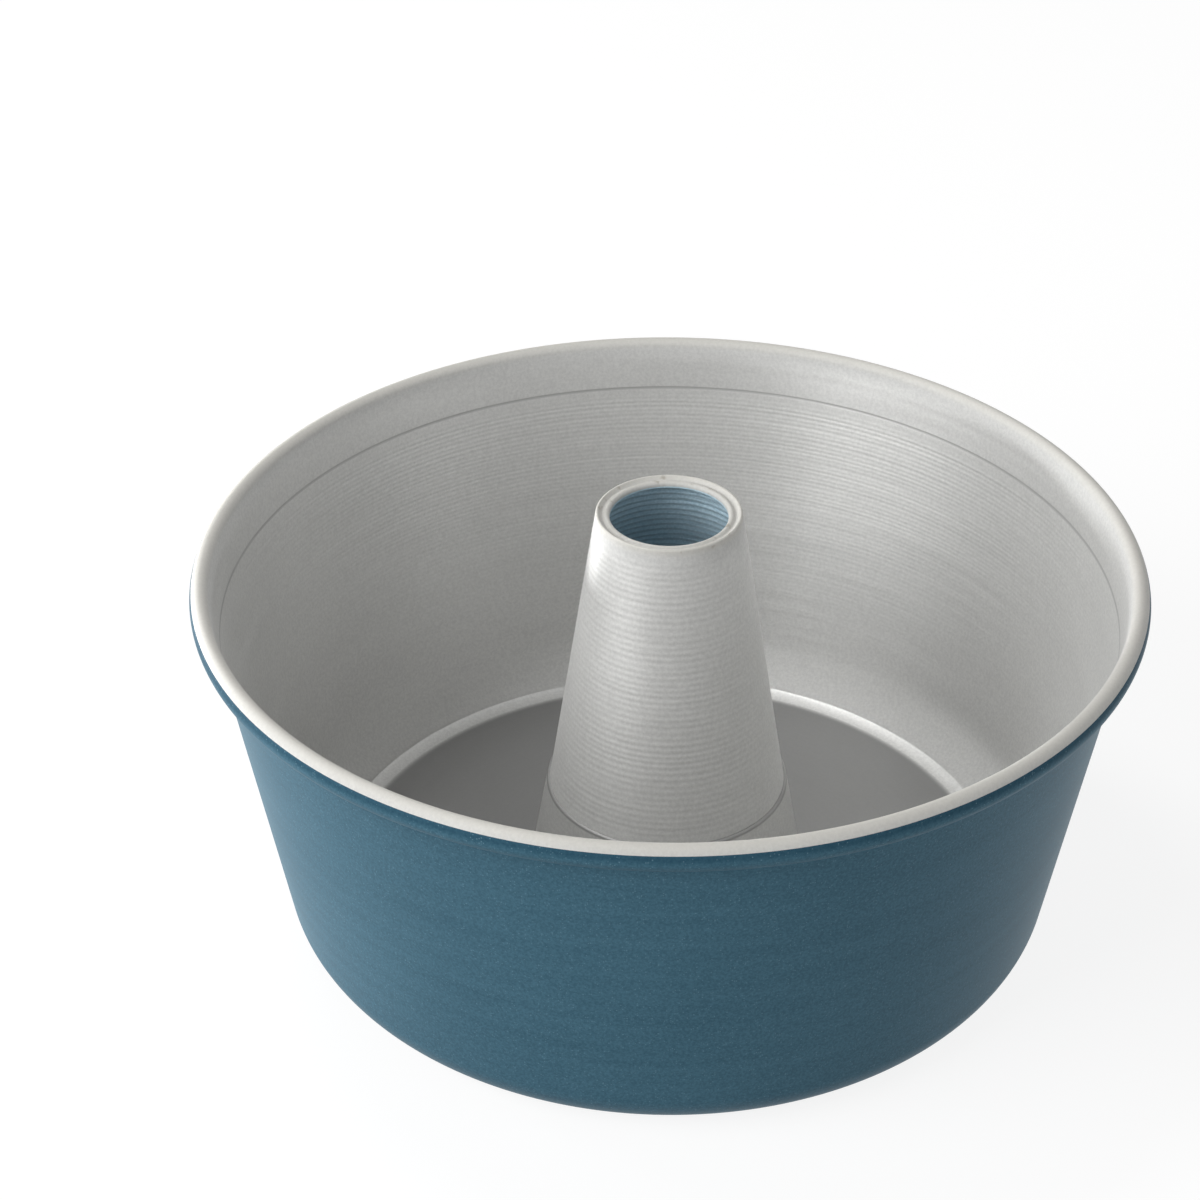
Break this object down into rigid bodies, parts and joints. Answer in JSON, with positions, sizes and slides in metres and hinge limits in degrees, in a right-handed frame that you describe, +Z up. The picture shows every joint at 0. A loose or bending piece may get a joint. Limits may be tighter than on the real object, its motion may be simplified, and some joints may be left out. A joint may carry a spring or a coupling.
{
  "type": "angel food cake pan",
  "caption": "Round cake pan with a tapered wall, rolled rim and bottom ledge, and a lift-out base plate that carries a tapered, open centre tube.",
  "frame": {"origin": "on the pan's axis, at the bench that the bottom ledge rests on", "axes": "+Z up the centre tube's axis; the object is turned about it, so +X and +Y are any two level directions"},
  "size_m": [0.262, 0.262, 0.1265],
  "materials": {
    "coated_wall": "satin blue coat with fine metallic flake outside, satin pale silver lining inside and over the rim",
    "lining": "satin pale silver lining above, blue coat on the underside and inside the tube"
  },
  "bodies": {
    "pan": {"pan_wall": "coated_wall"},
    "insert": {"base_plate": "lining", "centre_tube": "lining"}
  },
  "joints": [
    {"name": "insert_lift", "type": "slide", "parent": "pan", "child": "insert", "axis": [0, 0, 1], "range_m": [0, 0.12]}
  ]
}
